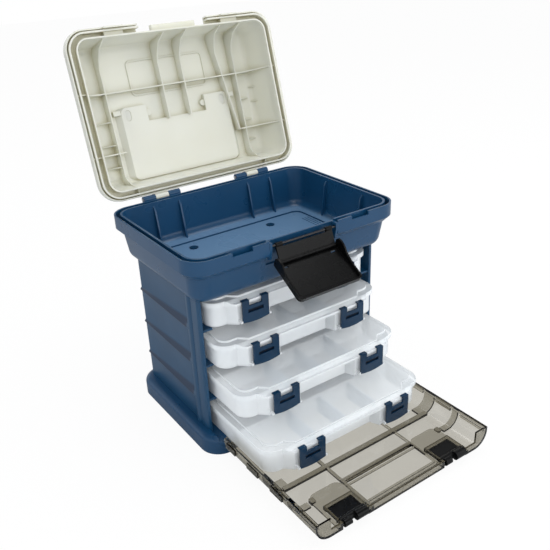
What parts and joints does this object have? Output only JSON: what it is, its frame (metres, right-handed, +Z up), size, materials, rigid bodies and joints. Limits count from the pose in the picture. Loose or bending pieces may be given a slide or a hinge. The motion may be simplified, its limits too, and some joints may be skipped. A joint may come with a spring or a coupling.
{
  "type": "fishing tackle cabinet",
  "caption": "Carry-along tackle cabinet: open bin with hinged lid and flip-up latch over a rack of slide-out divider boxes, with a clear drop-down door.",
  "frame": {"origin": "centre of the plinth's ribbed underside, on the floor, midway between the side walls", "axes": "+X to the user's right when facing the boxes, -Y to the front where the boxes come out, +Z up"},
  "size_m": [0.34, 0.5691, 0.5347],
  "materials": {
    "body_blue": "moulded, fine satin grain",
    "lid_grey": "moulded, satin",
    "latch_black": "moulded, satin",
    "clip_blue": "moulded, glossy",
    "box_clear": "translucent, glossy",
    "door_smoke": "clear smoke, glossy",
    "screw_steel": "plain steel"
  },
  "bodies": {
    "cabinet": {"base_plinth": "body_blue", "plinth_screws": "screw_steel", "left_side_wall": "body_blue", "right_side_wall": "body_blue", "back_wall": "body_blue", "rack_ceiling_plate": "body_blue", "top_bin": "body_blue", "bin_screws": "clip_blue", "lid_hinge_pins": "screw_steel", "latch_pivot_pin": "screw_steel", "door_hinge_pins": "screw_steel"},
    "lid": {"lid_shell": "lid_grey", "handle_pins": "screw_steel"},
    "handle": {"carry_handle": "latch_black"},
    "latch_link_body": {"latch_link": "latch_black"},
    "latch_cover_body": {"latch_cover": "latch_black", "latch_joint_pin": "screw_steel"},
    "door": {"door_panel": "door_smoke", "door_latch_pins": "screw_steel"},
    "door_latch_left_body": {"door_latch_left": "latch_black"},
    "door_latch_right_body": {"door_latch_right": "latch_black"},
    "box_1": {"box_1_base": "box_clear", "box_1_lid": "box_clear", "box_1_dividers": "box_clear"},
    "box_2": {"box_2_base": "box_clear", "box_2_lid": "box_clear", "box_2_dividers": "box_clear"},
    "box_3": {"box_3_base": "box_clear", "box_3_lid": "box_clear", "box_3_dividers": "box_clear"},
    "box_4": {"box_4_base": "box_clear", "box_4_lid": "box_clear", "box_4_dividers": "box_clear"},
    "clip_1_left": {"box_1_clip_left": "clip_blue"},
    "clip_1_right": {"box_1_clip_right": "clip_blue"},
    "clip_2_left": {"box_2_clip_left": "clip_blue"},
    "clip_2_right": {"box_2_clip_right": "clip_blue"},
    "clip_3_left": {"box_3_clip_left": "clip_blue"},
    "clip_3_right": {"box_3_clip_right": "clip_blue"},
    "clip_4_left": {"box_4_clip_left": "clip_blue"},
    "clip_4_right": {"box_4_clip_right": "clip_blue"}
  },
  "joints": [
    {"name": "lid_hinge", "type": "hinge", "parent": "cabinet", "child": "lid", "pos_m": [0, 0.126, 0.296], "axis": [1, 0, 0], "range_deg": [0, 105.8]},
    {"name": "handle_swing", "type": "hinge", "parent": "lid", "child": "handle", "pos_m": [0, 0.21301, 0.40627], "axis": [-1, 0, 0], "range_deg": [-74, 15.8]},
    {"name": "latch_link_hinge", "type": "hinge", "parent": "cabinet", "child": "latch_link_body", "pos_m": [0, -0.118, 0.287], "axis": [1, 0, 0], "range_deg": [-5, 21]},
    {"name": "latch_cover_hinge", "type": "hinge", "parent": "latch_link_body", "child": "latch_cover_body", "pos_m": [0, -0.12624, 0.26553], "axis": [-1, 0, 0], "range_deg": [-5, 122]},
    {"name": "door_hinge", "type": "hinge", "parent": "cabinet", "child": "door", "pos_m": [0, -0.112, 0.013], "axis": [-1, 0, 0], "range_deg": [0, 3]},
    {"name": "door_latch_left_hinge", "type": "hinge", "parent": "door", "child": "door_latch_left_body", "pos_m": [-0.0865, -0.317, 0.0125], "axis": [1, 0, 0], "range_deg": [0, 12]},
    {"name": "door_latch_right_hinge", "type": "hinge", "parent": "door", "child": "door_latch_right_body", "pos_m": [0.0865, -0.317, 0.0125], "axis": [1, 0, 0], "range_deg": [0, 12]},
    {"name": "box_1_slide", "type": "slide", "parent": "cabinet", "child": "box_1", "axis": [0, 1, 0], "range_m": [-0.14744, 0.00256]},
    {"name": "box_2_slide", "type": "slide", "parent": "cabinet", "child": "box_2", "axis": [0, 1, 0], "range_m": [-0.1268, 0.0232]},
    {"name": "box_3_slide", "type": "slide", "parent": "cabinet", "child": "box_3", "axis": [0, 1, 0], "range_m": [-0.0836, 0.0664]},
    {"name": "box_4_slide", "type": "slide", "parent": "cabinet", "child": "box_4", "axis": [0, 1, 0], "range_m": [-0.03, 0.12]},
    {"name": "clip_1_left_hinge", "type": "hinge", "parent": "box_1", "child": "clip_1_left", "pos_m": [-0.0746, -0.10896, 0.1887], "axis": [-1, 0, 0], "range_deg": [-95, 0]},
    {"name": "clip_1_right_hinge", "type": "hinge", "parent": "box_1", "child": "clip_1_right", "pos_m": [0.0746, -0.10896, 0.1887], "axis": [-1, 0, 0], "range_deg": [-95, 0]},
    {"name": "clip_2_left_hinge", "type": "hinge", "parent": "box_2", "child": "clip_2_left", "pos_m": [-0.0746, -0.1296, 0.1345], "axis": [-1, 0, 0], "range_deg": [-95, 0]},
    {"name": "clip_2_right_hinge", "type": "hinge", "parent": "box_2", "child": "clip_2_right", "pos_m": [0.0746, -0.1296, 0.1345], "axis": [-1, 0, 0], "range_deg": [-95, 0]},
    {"name": "clip_3_left_hinge", "type": "hinge", "parent": "box_3", "child": "clip_3_left", "pos_m": [-0.0746, -0.1728, 0.0803], "axis": [-1, 0, 0], "range_deg": [-95, 0]},
    {"name": "clip_3_right_hinge", "type": "hinge", "parent": "box_3", "child": "clip_3_right", "pos_m": [0.0746, -0.1728, 0.0803], "axis": [-1, 0, 0], "range_deg": [-95, 0]},
    {"name": "clip_4_left_hinge", "type": "hinge", "parent": "box_4", "child": "clip_4_left", "pos_m": [-0.0746, -0.2264, 0.0261], "axis": [-1, 0, 0], "range_deg": [-95, 0]},
    {"name": "clip_4_right_hinge", "type": "hinge", "parent": "box_4", "child": "clip_4_right", "pos_m": [0.0746, -0.2264, 0.0261], "axis": [-1, 0, 0], "range_deg": [-95, 0]}
  ]
}
